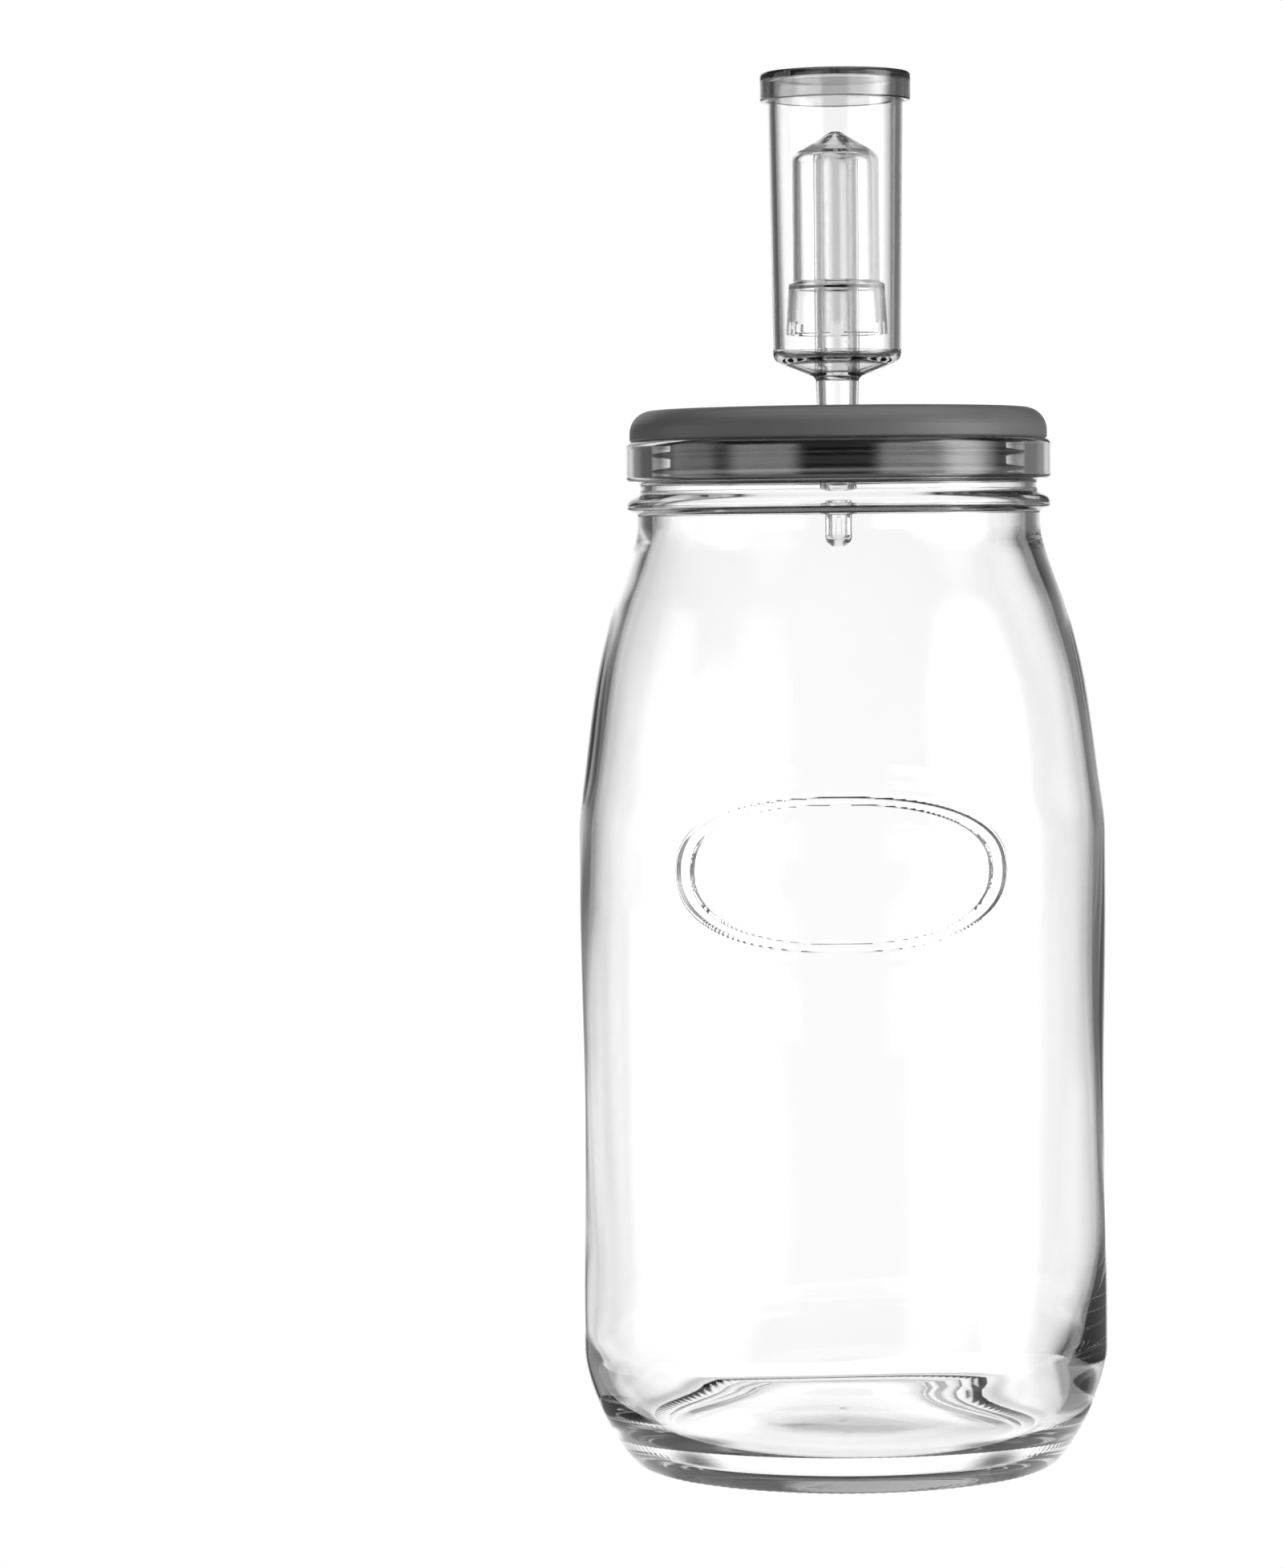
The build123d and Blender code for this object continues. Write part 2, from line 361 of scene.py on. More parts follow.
# Uneven wall of the blown glass: (swing, waves round the jar, waves per metre of height, start angle)
wall_waves = ((0.16, 2, 3.0, 0.7), (0.12, 3, -5.0, 2.1), (0.07, 5, 9.0, 4.0), (0.05, 1, 21.0, 1.0))
wall_waves_start = (16.0, 40.0)
wall_waves_end = (225.0, 245.0)
thick_heel = 2.6  # extra glass in the heel, on one side
thick_heel_level = 27.0
thick_heel_spread = 17.0
thick_heel_side = math.radians(-15)


def smooth_step(value, low, high):
    """Rises smoothly from 0 at low to 1 at high."""
    share = np.clip((value - low) / (high - low), 0.0, 1.0)
    return share * share * (3 - 2 * share)


def shoulder_curve(lower_radius, upper_radius, height):
    """The shoulder's S-curve between two radii."""
    inward = lower_radius - upper_radius
    points = [
        (lower_radius - inward * across, shoulder_bottom + height * climb)
        for across, climb in shoulder_shares
    ]
    return climbing_curve(points, shoulder_rows)


def jar_outside():
    """Outline of the jar's outer surface, from under the base to the rim."""
    lower_band_radius = band_radius - lower_band_step
    waist_middle = (lower_band_top + upper_band_bottom) / 2
    ring_radius = neck_radius + ring_proud
    ring_face_bottom = ring_bottom + ring_rise
    groove_radius = neck_radius - groove_depth
    push_up_curve = [
        (radius, push_up * math.cos(math.pi / 2 * radius / push_up_radius))
        for radius in np.linspace(*push_up_limits, push_up_rows)
    ]
    heel = bezier(
        (foot_radius, 0.0),
        (foot_radius + heel_width * heel_foot_share, 0.0),
        (lower_band_radius, heel_height * (1 - heel_side_share)),
        (lower_band_radius, heel_height),
        heel_rows,
    )
    waist = (
        (lower_band_radius, lower_band_top),
        (band_radius - waist_depth, waist_middle),
        (band_radius, upper_band_bottom),
    )
    return [
        corner(0.0, push_up),
        *curve(push_up_curve),
        corner(foot_radius - foot_width, 0.0, foot_rounding),
        *curve(heel[heel_points_left_out:]),
        *curve(climbing_curve(waist, waist_rows)),
        *curve(shoulder_curve(band_radius, neck_radius, shoulder_height)),
        corner(neck_radius, ring_bottom, ring_foot_rounding),
        corner(ring_radius, ring_face_bottom, ring_lower_rounding),
        corner(ring_radius, ring_face_bottom + ring_face, ring_upper_rounding),
        corner(groove_radius, ring_top, ring_top_rounding),
        corner(groove_radius, finish_bottom, groove_top_rounding),
        corner(finish_radius, finish_bottom, finish_rounding),
        corner(finish_radius, rim_level, rim_rounding),
    ]


def jar_inside():
    """Outline of the jar's inner surface, from the mouth down to the floor."""
    inner_radius = band_radius - waist_depth - jar_wall
    floor_centre = push_up + base_thickness
    floor_edge = floor_centre - floor_crown
    heel_top = floor_edge + inside_heel_height
    heel = bezier(
        (inner_radius, heel_top),
        (inner_radius, heel_top - inside_heel_height * inside_heel_side_share),
        (floor_radius + (inner_radius - floor_radius) * inside_heel_foot_share, floor_edge),
        (floor_radius, floor_edge),
        inside_heel_rows,
    )
    floor = []
    for radius in np.linspace(floor_radius - floor_edge_width, floor_last_radius, floor_rows):
        rise = math.cos(math.pi / 2 * radius / floor_radius) ** floor_crown_power
        floor.append((radius, floor_edge + floor_crown * rise))
    wall_rows = np.linspace(shoulder_bottom, heel_top, inner_wall_rows)[1:-1]
    return [
        corner(bore_radius, rim_level, rim_rounding),
        *curve(reversed(shoulder_curve(inner_radius, bore_radius, inner_shoulder_height))),
        *curve((inner_radius, height) for height in wall_rows),
        *curve(heel),
        *curve(floor),
        corner(0.0, floor_centre),
    ]


def jar_rows():
    """Rows of the jar's mesh, and the number of the first row of the inner wall."""
    panel_reach = panel_half_height * panel_rows_share
    rows = outline(jar_outside() + jar_inside())
    rows = finer(rows, panel_middle - panel_reach, panel_middle + panel_reach, panel_row)
    top_row = int(np.argmax(rows[:, 1]))
    inside_start = next(i for i in range(top_row, len(rows)) if rows[i, 0] < bore_radius + bore_tolerance)
    low, high = behind_panel
    keep = [
        i
        for i, height in enumerate(rows[:, 1])
        if i < inside_start or i % behind_panel_step == 0 or height < low or height > high
    ]
    return rows[keep], inside_start


def panel_relief(heights, angles):
    """How far the front of the jar sinks at the oval panel, with its raised lines."""
    around = band_radius * (np.mod(angles - panel_front + math.pi, 2 * math.pi) - math.pi)
    across = np.abs(around) / panel_half_width
    up = np.abs(heights - panel_middle) / panel_half_height
    oval = (across**panel_power + up**panel_power) ** (1 / panel_power)
    slope = np.hypot(
        across ** (panel_power - 1) / panel_half_width,
        up ** (panel_power - 1) / panel_half_height,
    )
    slope = slope / np.maximum(oval, smallest_oval) ** (panel_power - 1)
    relief = -panel_sink * (1 - smooth_step(oval, *panel_spread_shares))
    for share, width, height in panel_lines:
        distance = np.abs((oval - share) / np.maximum(slope, smallest_slope))
        relief = relief + height * (1 - smooth_step(distance, panel_line_top_share * width, width / 2))
    return relief


def foot_knurl(radius, height, angles):
    """How far the knurl lifts a row under the foot ring."""
    start, full = knurl_inward
    share = smooth_step(radius, foot_radius - start, foot_radius - full)
    share = share * (1 - smooth_step(height, *knurl_fade))
    return knurl_depth * share * (1 - np.cos(knurl_count * angles)) / 2


def wall_swing(height, angles):
    """How far the inner wall swings outward at a level, and inward where the heel is thick."""
    swing = sum(
        size * np.sin(waves * angles + 2 * math.pi * rise * height * millimetre + start)
        for size, waves, rise, start in wall_waves
    )
    fade = smooth_step(height, *wall_waves_start) * (1 - smooth_step(height, *wall_waves_end))
    heel = np.exp(-(((height - thick_heel_level) / thick_heel_spread) ** 2))
    side = ((1 + np.cos(angles - thick_heel_side)) / 2) ** 2
    return swing * fade - thick_heel * heel * side


def make_jar():
    """One blown piece of clear glass."""
    rows, inside_start = jar_rows()
    front = np.arange(-panel_view, panel_view, panel_column) + panel_front
    rest = np.arange(panel_view, 2 * math.pi - panel_view, side_column) + panel_front

    def shape(index, radii, heights, angles):
        radius, height = radii[0], heights[0]
        if index >= inside_start:
            return radii + wall_swing(height, angles), heights
        if height < knurl_fade[1] and radius > foot_radius - foot_width:
            return radii, heights + foot_knurl(radius, height, angles)
        if abs(height - panel_middle) < panel_half_height * panel_spread_shares[1]:
            return radii + panel_relief(heights, angles), heights
        return radii, heights

    piece = turned("glass_jar", rows, np.concatenate((front, rest)), shape)
    material = clear_material(
        "jar_glass", ior=1.5, wave_size=42.0, wave_height=0.05, tint=0.99, density=10.0
    )
    finish_piece(piece, "jar", "jar", material, sharp=jar_sharp_angle)


# Lid

lid_bottom, lid_top = levels("lid")
lid_radius = outer_radius("lid")
lid_rounding = 6.0
lip_rounding = 0.7
lip_inner_rounding = 0.3
plug_radius = 44.2
plug_wall = 1.9
plug_rounding = 0.8
rib_radius = 49.0
rib_height = 2.0
rib_edge_height = 0.4
rib_foot_rounding = 0.3
rib_edge_rounding = 0.35
rib_drops = (3.6, 7.8)  # from the jar's rim down to the middle of each rib
recess_rounding = 1.5
lid_thickness = 6.4
boss_radius = 10.5
boss_length = 9.6
boss_rounding = 0.8
stem_clearance = 0.1
bore_top_rounding = 0.6
bore_bottom_rounding = 0.5
lid_columns = 360


def make_lid():
    """One soft moulding: rounded cap, ribbed plug and bored boss."""
    recess_top = lid_top - lid_thickness
    boss_bottom = recess_top - boss_length
    ribs = []
    for drop in rib_drops:
        level = rim_level - drop
        ribs += [
            corner(plug_radius, level + rib_height / 2, rib_foot_rounding),
            corner(rib_radius, level + rib_edge_height / 2, rib_edge_rounding),
            corner(rib_radius, level - rib_edge_height / 2, rib_edge_rounding),
            corner(plug_radius, level - rib_height / 2, rib_foot_rounding),
        ]
    rows = outline(
        [
            corner(stem_radius(boss_bottom) + stem_clearance, boss_bottom, bore_bottom_rounding),
            corner(boss_radius, boss_bottom, boss_rounding),
            corner(boss_radius, recess_top, recess_rounding),
            corner(plug_radius - plug_wall, recess_top, recess_rounding),
            corner(plug_radius - plug_wall, lid_bottom, plug_rounding),
            corner(plug_radius, lid_bottom, plug_rounding),
            *reversed(ribs),
            corner(plug_radius, rim_level, lip_inner_rounding),
            corner(lid_radius, rim_level, lip_rounding),
            corner(lid_radius, lid_top, lid_rounding),
            corner(stem_radius(lid_top) + stem_clearance, lid_top, bore_top_rounding),
        ]
    )
    piece = turned("silicone_lid", rows, even_columns(lid_columns), closed=True)
    finish_piece(piece, "lid", "lid", silicone_material())


# Airlock

tip_end, chamber_rim = levels("airlock_body")
tip_length = 8.0
tip_radius = 3.55
tip_rounding = 3.0
tip_bore = 2.3
tip_floor = 2.2
tip_floor_rounding = 0.8
tip_top_rounding = 0.2
slot_count = 2
slot_width = 1.4
slot_height = 4.0
slot_rise = 3.0
slot_length = 3 * tip_radius
stem_length = 35.2
stem_end_radius = 4.6
stem_end_rounding = 0.3
stem_top_radius = 5.65
stem_top_rounding = 0.6
stem_bore = 3.1
collar_radius = 6.3
collar_height = 1.0
collar_rounding = 1.0
chamber_rise = 3.8  # height of the chamber's sloping underside
chamber_radius = 16.9
chamber_rim_radius = outer_radius("airlock_body")
chamber_wall = 1.9
chamber_rounding = 3.4
chamber_inner_rounding = 2.0
chamber_rim_rounding = 0.9
floor_thickness = 1.9
pipe_length = 57.6
pipe_radius = 5.95
pipe_bore = 4.0
pipe_foot_rounding = 0.7
pipe_rim_rounding = 0.4
airlock_columns = 192

stem_end = tip_end + tip_length
collar_bottom = stem_end + stem_length
collar_top = collar_bottom + collar_height
chamber_bottom = collar_top + chamber_rise
pipe_foot = collar_top + floor_thickness
pipe_top = pipe_foot + pipe_length


def stem_radius(height):
    """Outer radius of the airlock's tapered stem at a level."""
    taper = (stem_top_radius - stem_end_radius) * (height - stem_end) / (collar_bottom - stem_end)
    return stem_end_radius + taper


def make_airlock_body():
    """Chamber, standpipe, tapered stem and slotted tip, in one clear moulding."""
    inner_rim_radius = chamber_rim_radius - chamber_wall
    rows = outline(
        [
            corner(0.0, tip_end),
            corner(tip_radius, tip_end, tip_rounding),
            corner(tip_radius, stem_end, tip_top_rounding),
            corner(stem_end_radius, stem_end, stem_end_rounding),
            corner(stem_top_radius, collar_bottom, stem_top_rounding),
            corner(collar_radius, collar_top, collar_rounding),
            corner(chamber_radius, chamber_bottom, chamber_rounding),
            corner(chamber_rim_radius, chamber_rim, chamber_rim_rounding),
            corner(inner_rim_radius, chamber_rim, chamber_rim_rounding),
            corner(chamber_radius - chamber_wall, chamber_bottom + floor_thickness, chamber_inner_rounding),
            corner(pipe_radius, pipe_foot, pipe_foot_rounding),
            corner(pipe_radius, pipe_top, pipe_rim_rounding),
            corner(pipe_bore, pipe_top, pipe_rim_rounding),
            corner(pipe_bore, collar_bottom),
            corner(stem_bore, stem_end, tip_top_rounding),
            corner(tip_bore, stem_end, tip_top_rounding),
            corner(tip_bore, tip_end + tip_floor, tip_floor_rounding),
            corner(0.0, tip_end + tip_floor),
        ]
    )
    piece = turned("airlock_chamber", rows, even_columns(airlock_columns))
    slot_size = (slot_length, slot_width, slot_height)
    slot_middle = (0, 0, tip_end + slot_rise + slot_height / 2)
    slots = [
        box_mesh(f"tip_slot_{i}", slot_size, slot_middle, i * math.pi / slot_count)
        for i in range(slot_count)
    ]
    combine(piece, slots, "DIFFERENCE")
    material = clear_material(
        "airlock_plastic", ior=1.56, wave_size=9.0, wave_height=0.012, tint=0.99, density=24.0
    )
    finish_piece(piece, "airlock", "airlock_body", material)


# Bubbler

skirt_edge, peak = levels("bubbler")
bubbler_wall = 1.3
bubbler_radius = 11.45
bubbler_rounding = 0.4
crown_drop = 5.9
crown_rounding = 3.0
crown_inner_rounding = 1.8
peak_radius = 1.2
peak_rounding = 0.8
step_height = 0.7
skirt_height = 13.2
skirt_top_radius = 12.6
skirt_radius = outer_radius("bubbler")
rest_rib_count = 4
rest_rib_width = 1.2
rest_rib_inner = 3.2
rest_rib_outer = 9.0
rib_side_sink = 0.2  # the ribs run this far into the crown's wall
rib_peak_sink = 0.4
crown_columns = 96
notch_count = 6
notch_width = 3.4
notch_height = 3.2
notch_length = 6.0


def crown_ribs():
    """Upright ribs under the crown, which keep it off the standpipe's rim."""
    crown = turned(
        "crown_ribs_outline",
        outline(
            [
                corner(0.0, pipe_top),
                corner(rest_rib_outer, pipe_top),
                corner(rest_rib_outer, peak - crown_drop - rib_side_sink),
                corner(peak_radius, peak - rib_peak_sink),
                corner(0.0, peak - rib_peak_sink),
            ]
        ),
        even_columns(crown_columns),
    )
    size = (rest_rib_outer - rest_rib_inner, rest_rib_width, 2 * (peak - pipe_top))
    middle = ((rest_rib_outer + rest_rib_inner) / 2, 0, peak)
    ribs = [
        box_mesh(f"rest_rib_{i}", size, middle, i * 2 * math.pi / rest_rib_count)
        for i in range(rest_rib_count)
    ]
    for rib in ribs:
        combine(rib, [duplicate(crown)], "INTERSECT")
    bpy.data.objects.remove(crown)
    return ribs


def make_bubbler():
    """The stepped cup that floats over the standpipe, with notches in its skirt."""
    shoulder = peak - crown_drop
    step = skirt_edge + skirt_height
    inner_radius = bubbler_radius - bubbler_wall
    rows = outline(
        [
            corner(0.0, peak - bubbler_wall),
            corner(inner_radius, shoulder - step_height, crown_inner_rounding),
            corner(inner_radius, step - bubbler_wall + step_height, bubbler_rounding),
            corner(skirt_top_radius - bubbler_wall, step - bubbler_wall, bubbler_rounding),
            corner(skirt_radius - bubbler_wall, skirt_edge, bubbler_rounding),
            corner(skirt_radius, skirt_edge, bubbler_rounding),
            corner(skirt_top_radius, step, bubbler_rounding),
            corner(bubbler_radius, step + step_height, bubbler_rounding),
            corner(bubbler_radius, shoulder, crown_rounding),
            corner(peak_radius, peak, peak_rounding),
            corner(0.0, peak),
        ]
    )
    piece = turned("floating_bubbler", rows, even_columns(airlock_columns))
    combine(piece, crown_ribs(), "UNION")
    notch_size = (notch_length, notch_width, 2 * notch_height)
    notch_middle = (skirt_radius, 0, skirt_edge)
    notches = [
        box_mesh(f"notch_{i}", notch_size, notch_middle, (i + 0.5) * 2 * math.pi / notch_count)
        for i in range(notch_count)
    ]
    combine(piece, notches, "DIFFERENCE")
    material = clear_material(
        "bubbler_plastic", ior=1.56, wave_size=7.0, wave_height=0.01, tint=0.98, density=18.0
    )
    finish_piece(piece, "bubbler", "bubbler", material)


# Airlock cap

cap_bottom, cap_top = levels("airlock_cap")
cap_radius = outer_radius("airlock_cap")
cap_clearance = 0.15
cap_top_rounding = 1.0
cap_edge_rounding = 0.5
cap_mouth_rounding = 0.4
cap_seat_rounding = 0.3
cap_columns = 240
vent_count = 4
vent_radius = 0.7
vent_circle = 8.5
vent_overrun = 1.0
vent_columns = 20


def make_cap():
    """The cap over the chamber's rim, with its small vents."""
    inner_radius = chamber_rim_radius + cap_clearance
    rows = outline(
        [
            corner(0.0, chamber_rim),
            corner(inner_radius, chamber_rim, cap_seat_rounding),
            corner(inner_radius, cap_bottom, cap_mouth_rounding),
            corner(cap_radius, cap_bottom, cap_edge_rounding),
            corner(cap_radius, cap_top, cap_top_rounding),
            corner(0.0, cap_top),
        ]
    )
    piece = turned("vented_cap", rows, even_columns(cap_columns))
    vent_rows = outline(
        [
            corner(0.0, chamber_rim - vent_overrun),
            corner(vent_radius, chamber_rim - vent_overrun),
            corner(vent_radius, cap_top + vent_overrun),
            corner(0.0, cap_top + vent_overrun),
        ]
    )
    vents = []
    for i in range(vent_count):
        angle = i * 2 * math.pi / vent_count
        place = Vector((math.cos(angle), math.sin(angle), 0)) * vent_circle * millimetre
        vent = turned(f"vent_{i}", vent_rows, even_columns(vent_columns))
        vent.data.transform(Matrix.Translation(place))
        vents.append(vent)
    combine(piece, vents, "DIFFERENCE")
    material = clear_material(
        "cap_plastic", ior=1.52, wave_size=8.0, wave_height=0.015, tint=0.8, density=60.0, roughness=0.08
    )
    finish_piece(piece, "airlock_cap", "airlock_cap", material)


# Materials

wave_detail = 1.0
smear_size_share = 1.7  # the smears are larger than the waves
smear_detail = 3.0
smear_roughness_shares = (0.5, 1.5)
silicone_colours = ((0.05, 0.05, 0.051, 1.0), (0.064, 0.064, 0.065, 1.0))
silicone_roughness = (0.38, 0.52)
silicone_cloud_size = 14.0
silicone_cloud_detail = 4.0
silicone_grain_size = 0.35
silicone_grain_detail = 2.0
silicone_grain_height = 0.012
white = (1.0, 1.0, 1.0, 1.0)
black = (0.0, 0.0, 0.0, 1.0)


def grey(level):
    """An opaque grey."""
    return level, level, level, 1.0


def new_material(name):
    """A material with only a Principled shader, and its nodes."""
    material = bpy.data.materials.new(name)
    material.use_nodes = True
    nodes = material.node_tree.nodes
    return material, nodes, material.node_tree.links, nodes["Principled BSDF"]


def add_noise(nodes, links, size, detail):
    """A noise in the object's own space, whose blobs are about as large as the size."""
    place = nodes.new("ShaderNodeTexCoord")
    noise = nodes.new("ShaderNodeTexNoise")
    noise.inputs["Scale"].default_value = 1 / (size * millimetre)
    noise.inputs["Detail"].default_value = detail
    links.new(place.outputs["Object"], noise.inputs["Vector"])
    return noise.outputs["Fac"]


def add_bump(nodes, links, source, height, shader):
    """Bumps of the given height."""
    bump = nodes.new("ShaderNodeBump")
    bump.inputs["Distance"].default_value = height * millimetre
    links.new(source, bump.inputs["Height"])
    links.new(bump.outputs["Normal"], shader.inputs["Normal"])


def add_roughness(nodes, links, source, low, high, shader):
    """A roughness that varies between two values."""
    spread = nodes.new("ShaderNodeMapRange")
    spread.inputs["To Min"].default_value = low
    spread.inputs["To Max"].default_value = high
    links.new(source, spread.inputs["Value"])
    links.new(spread.outputs["Result"], shader.inputs["Roughness"])


def clear_material(name, ior, wave_size, wave_height, tint, density, roughness=0.015):
    """Clear glass or plastic with the slight waves that moulding leaves in its surface.

    It absorbs a little light, so that long paths through thick glass are dark.
    """
    material, nodes, links, shader = new_material(name)
    absorption = nodes.new("ShaderNodeVolumeAbsorption")
    absorption.inputs["Color"].default_value = black
    absorption.inputs["Density"].default_value = density
    links.new(absorption.outputs["Volume"], nodes["Material Output"].inputs["Volume"])
    shader.inputs["Base Color"].default_value = grey(tint)
    shader.inputs["IOR"].default_value = ior
    shader.inputs["Transmission Weight"].default_value = 1.0
    waves = add_noise(nodes, links, wave_size, wave_detail)
    add_bump(nodes, links, waves, wave_height, shader)
    smears = add_noise(nodes, links, wave_size * smear_size_share, smear_detail)
    low, high = (roughness * share for share in smear_roughness_shares)
    add_roughness(nodes, links, smears, low, high, shader)
    return material


def silicone_material():
    """Mid-grey silicone: satin, with a fine moulded grain and faint uneven colour."""
    material, nodes, links, shader = new_material("lid_silicone")
    clouds = add_noise(nodes, links, silicone_cloud_size, silicone_cloud_detail)
    colours = nodes.new("ShaderNodeMix")
    colours.data_type = "RGBA"
    colours.inputs["A"].default_value, colours.inputs["B"].default_value = silicone_colours
    links.new(clouds, colours.inputs["Factor"])
    links.new(colours.outputs["Result"], shader.inputs["Base Color"])
    add_roughness(nodes, links, clouds, *silicone_roughness, shader)
    grain = add_noise(nodes, links, silicone_grain_size, silicone_grain_detail)
    add_bump(nodes, links, grain, silicone_grain_height, shader)
    return material


# Math nodes


class Maths:
    """Makes math nodes in one node tree, from numbers, vectors and other nodes' outputs."""

    def __init__(self, tree):
        self.nodes = tree.nodes
        self.links = tree.links

    def feed(self, socket, value):
        """Sets a socket's value, or links it to another node's output."""
        if isinstance(value, (int, float, tuple)):
            socket.default_value = value
        else:
            self.links.new(value, socket)

    def operate(self, kind, operation, values):
        """One node of a kind that has operations."""
        node = self.nodes.new(kind)
        node.operation = operation
        for socket, value in zip(node.inputs, values):
            self.feed(socket, value)
        return node

    def number(self, operation, *values):
        """The result of one math node."""
        return self.operate("ShaderNodeMath", operation, values).outputs["Value"]

    def dot(self, *vectors):
        """The dot product of two vectors."""
        return self.operate("ShaderNodeVectorMath", "DOT_PRODUCT", vectors).outputs["Value"]

    def length(self, *vectors):
        """The length of a vector."""
        return self.operate("ShaderNodeVectorMath", "LENGTH", vectors).outputs["Value"]

    def unit(self, *vectors):
        """A vector's direction, with the length 1."""
        return self.operate("ShaderNodeVectorMath", "NORMALIZE", vectors).outputs["Vector"]

    def split(self, vector):
        """The three parts of a vector."""
        node = self.nodes.new("ShaderNodeSeparateXYZ")
        self.feed(node.inputs["Vector"], vector)
        return node.outputs["X"], node.outputs["Y"], node.outputs["Z"]

    def level_vector(self, x, y):
        """A vector from two parts, with no height."""
        node = self.nodes.new("ShaderNodeCombineXYZ")
        self.feed(node.inputs["X"], x)
        self.feed(node.inputs["Y"], y)
        return node.outputs["Vector"]

    def step(self, value, limits, start=0.0, end=1.0):
        """Goes smoothly from start to end while the value goes from the first limit to the second."""
        node = self.nodes.new("ShaderNodeMapRange")
        node.interpolation_type = "SMOOTHSTEP"
        names = ("Value", "From Min", "From Max", "To Min", "To Max")
        for name, number in zip(names, (value, *limits, start, end)):
            self.feed(node.inputs[name], number)
        return node.outputs["Result"]

    def blend(self, share, first, second):
        """Mixes two numbers or outputs."""
        node = self.nodes.new("ShaderNodeMix")
        for name, value in (("Factor", share), ("A", first), ("B", second)):
            self.feed(node.inputs[name], value)
        return node.outputs["Result"]


# Studio

# White screens, and dark gaps between them. Directions are unit vectors, a rise is the sine of an
# elevation, and an edge share is the cosine of the turn from a screen's middle.
screen_white = 1.2
above_screens = 0.12
screen_top_rises = (0.36, 0.46)
screen_lean = 0.9  # the screens lean to the left as they climb
screen_directions = ((0.0, 1.0, 0.0), (-1.0, 0.0, 0.0))
screen_edge_shares = (0.925, 0.985)
low_screen_direction = (0.0, 1.0, 0.0)  # below the horizon there is one screen behind
low_screen_edge_shares = (0.945, 0.985)
low_panel_direction = (-0.559, 0.829, 0.0)  # and a dimmer one beside it on the left
low_panel_edge_shares = (0.96, 0.995)
low_panel_share = 0.6
low_panel_rises = (-0.12, -0.07)  # the panel ends below the horizon
climb_rises = (-0.05, 0.02)  # where what is below the horizon becomes what is above it
gap_low = 0.2  # the gaps a little below the horizon
gap_high = 0.15  # and a little above it
gap_away = 0.04  # and further up and down, and in front
gap_away_rises = (0.13, 0.26)
gap_front_shares = (0.1, 0.6)  # how far to the front the gaps start to darken and are dark
gap_right_share = 0.4  # the gaps are lighter on the right by this share, and darker on the left

# Soft boxes: one at the right, low ones seen through the jar from its other sides, one overhead,
# and two beside the camera, which only lighten what stands behind glass
right_box_direction = (0.92, -0.37, 0.1)
right_box_shares = (0.86, 0.99)
right_box_level = 5.0
window_directions = ((-0.641, 0.641, -0.423), (0.683, -0.683, -0.259), (-0.9986, 0.0, -0.052))
window_shares = (0.93, 0.975)
window_level = 1.1
overhead = 1.35
overhead_rises = (0.72, 0.85)
front_box_level = 2.0
front_box_inner_shares = (0.38, 0.55)
front_box_outer_shares = (0.88, 0.96)
front_box_rise = 0.02
front_box_half_heights = (0.05, 0.09)

# Light from all round for the matt surfaces
fill_level = 1.5
fill_right_share = 0.5


def screen_light(maths, x, y, rise):
    """The white screens and the gaps between them."""
    climbing = maths.number("MAXIMUM", rise, 0.0)
    leaning = maths.number("MULTIPLY_ADD", climbing, screen_lean, x)
    flat = maths.unit(maths.level_vector(leaning, y))
    side = maths.number("MAXIMUM", *[maths.dot(flat, direction) for direction in screen_directions])
    low_screen = maths.step(maths.dot(flat, low_screen_direction), low_screen_edge_shares)
    low_panel = maths.dot(flat, low_panel_direction)
    low_panel = maths.step(low_panel, low_panel_edge_shares, 0.0, low_panel_share)
    panel_end = maths.step(rise, low_panel_rises, 1.0, 0.0)
    low_share = maths.number("MAXIMUM", low_screen, maths.number("MULTIPLY", low_panel, panel_end))
    climb = maths.step(rise, climb_rises)
    share = maths.blend(climb, low_share, maths.step(side, screen_edge_shares))
    screens = maths.blend(maths.step(rise, screen_top_rises), screen_white, above_screens)
    return maths.blend(share, gap_light(maths, x, y, rise, climb), screens)


def gap_light(maths, x, y, rise, climb):
    """The gaps: dim on the horizon, and nearly black away from it and in front."""
    rightward = maths.number("MULTIPLY_ADD", x, gap_right_share, 1.0)
    on_horizon = maths.number("MULTIPLY", rightward, maths.blend(climb, gap_low, gap_high))
    away = maths.step(maths.number("ABSOLUTE", rise), gap_away_rises)
    in_front = maths.step(maths.number("MULTIPLY", y, -1.0), gap_front_shares)
    return maths.blend(maths.number("MAXIMUM", away, in_front), on_horizon, gap_away)


def front_box_share(maths, y, rise):
    """How much of the two soft boxes beside the camera a direction sees."""
    forward = maths.number("MULTIPLY", y, -1.0)
    off_middle = maths.number("ABSOLUTE", maths.number("SUBTRACT", rise, front_box_rise))
    inner = maths.step(forward, front_box_inner_shares)
    outer = maths.step(forward, front_box_outer_shares, 1.0, 0.0)
    height = maths.step(off_middle, front_box_half_heights, 1.0, 0.0)
    return maths.number("MINIMUM", maths.number("MINIMUM", inner, outer), height)


def add_soft_boxes(maths, place, y, rise, light):
    """Puts the soft boxes in front of the screens."""
    right_share = maths.step(maths.dot(place, right_box_direction), right_box_shares)
    light = maths.blend(right_share, light, right_box_level)
    for direction in window_directions:
        window_share = maths.step(maths.dot(place, direction), window_shares)
        light = maths.blend(window_share, light, window_level)
    light = maths.blend(front_box_share(maths, y, rise), light, front_box_level)
    return maths.blend(maths.step(rise, overhead_rises), light, overhead)


